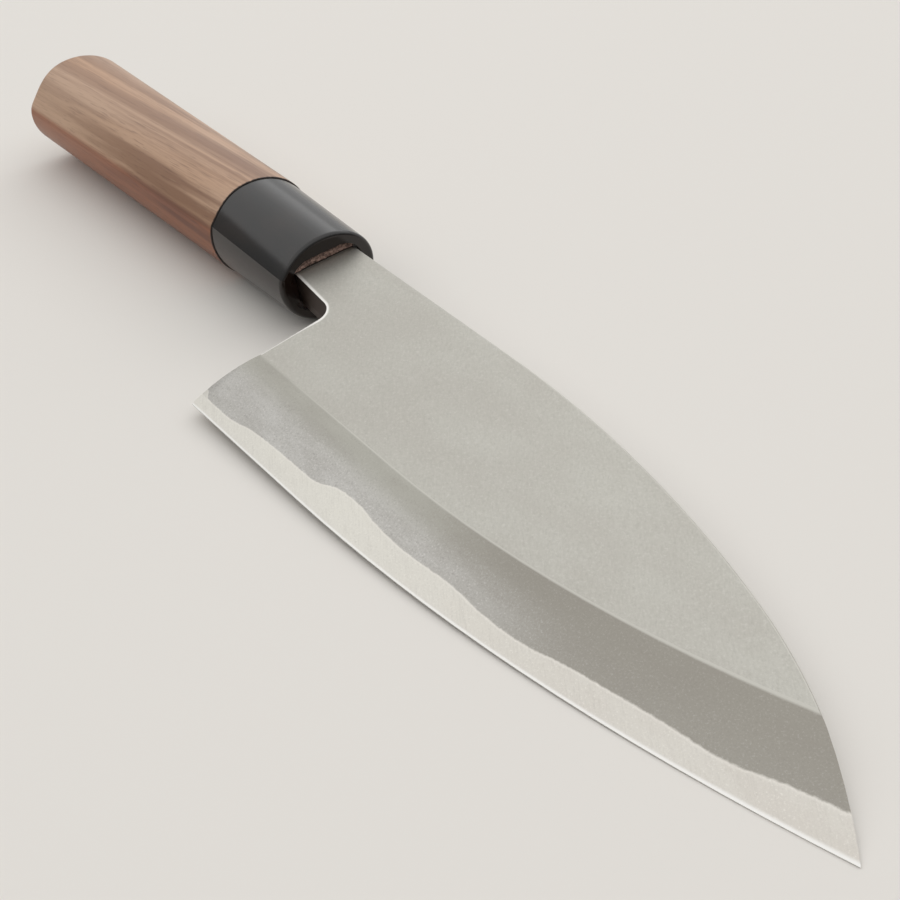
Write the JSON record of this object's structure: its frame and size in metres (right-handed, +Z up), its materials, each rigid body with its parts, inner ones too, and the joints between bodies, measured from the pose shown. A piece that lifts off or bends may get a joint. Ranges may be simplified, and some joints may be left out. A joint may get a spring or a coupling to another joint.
{
  "type": "deba knife",
  "caption": "Heavy single-bevel kitchen knife for fish and poultry, with a forge-welded blade, a ferrule and a D-shaped wooden handle, lying on its side.",
  "frame": {"origin": "middle of the knife's box, on the floor under the knife as it lies at rest on its flat left side", "axes": "+Z up from the floor, +X along the knife from the handle's end towards the tip, +Y towards the spine"},
  "size_m": [0.306, 0.0566, 0.0261],
  "materials": {
    "soft_iron": "satin cheek with a hazy stone-ground bevel",
    "hard_steel": "bright stone-ground edge",
    "seal_resin": "dark glossy resin",
    "grip_wood": "satin, bare wood with long grain",
    "black_collar": "polished black"
  },
  "bodies": {
    "root": {"blade_body": "soft_iron", "edge_steel": "hard_steel", "tang_bedding": "seal_resin", "handle": "grip_wood", "ferrule": "black_collar"}
  },
  "joints": []
}
